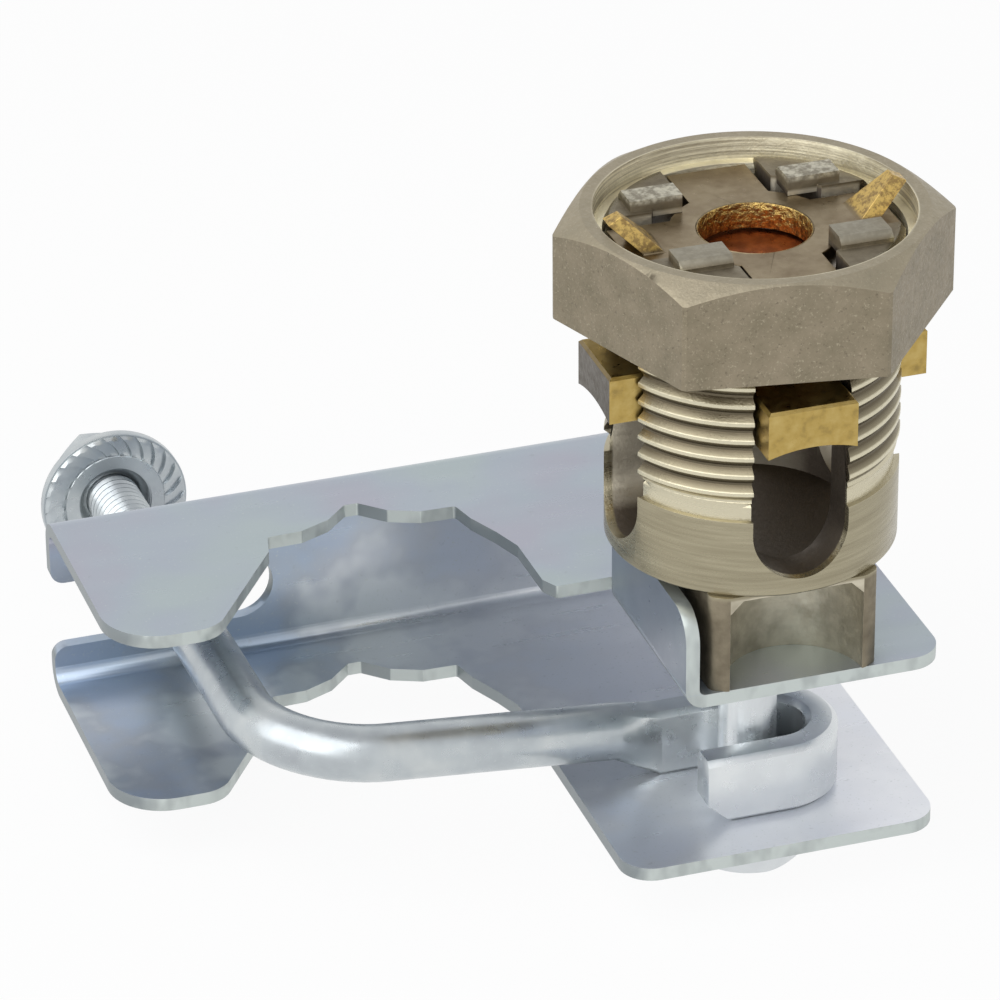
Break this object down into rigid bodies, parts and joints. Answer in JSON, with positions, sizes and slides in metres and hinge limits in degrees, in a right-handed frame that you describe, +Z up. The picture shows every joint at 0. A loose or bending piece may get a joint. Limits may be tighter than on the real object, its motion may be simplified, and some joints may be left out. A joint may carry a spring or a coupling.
{
  "type": "pedestal grounding clamp",
  "caption": "Folded sheet channel with a hook bolt that draws it onto a pedestal edge, and a slotted threaded post whose hex cap presses grounding wires down.",
  "frame": {"origin": "middle of the underside of the box round the whole clamp", "axes": "+Z up along the connector post and pivot bolt, +X along the channel towards the post, +Y away from the notched front towards the nut end of the hook bolt"},
  "size_m": [0.1082, 0.129, 0.099],
  "materials": {
    "zinc_sheet": "bright zinc",
    "zinc_rod": "bright zinc",
    "zinc_nut": "bright zinc",
    "zinc_bolt": "bright zinc",
    "bronze_body": "cast and turned",
    "bronze_cap": "as cast",
    "brass_bar": "machined",
    "brass_keeper": "as cast"
  },
  "bodies": {
    "base": {"channel_bracket": "zinc_sheet", "pivot_bolt": "zinc_bolt", "connector_body": "bronze_body", "keeper_plate": "brass_keeper"},
    "hook": {"hook_bolt": "zinc_rod"},
    "nut": {"flange_nut": "zinc_nut"},
    "bar": {"pressure_bar": "brass_bar"},
    "cap": {"hex_cap": "bronze_cap"}
  },
  "joints": [
    {"name": "hook_swing", "type": "hinge", "parent": "base", "child": "hook", "pos_m": [0.02809, -0.03962, 0.0156], "axis": [0, 0, 1], "range_deg": [-8, 35]},
    {"name": "nut_travel", "type": "slide", "parent": "hook", "child": "nut", "axis": [0, 0.9989, -0.0471], "range_m": [-0.028, 0.006]},
    {"name": "bar_travel", "type": "slide", "parent": "base", "child": "bar", "axis": [0, 0, 1], "range_m": [-0.015, 0]},
    {"name": "cap_turn", "type": "hinge", "parent": "bar", "child": "cap", "pos_m": [0.02809, -0.03962, 0.0901], "axis": [0, 0, 1], "range_deg": [-2130, 0]}
  ],
  "couplings": [
    {"joint": "cap_turn", "follows": "bar_travel", "rad_per_m": 2473.7}
  ]
}
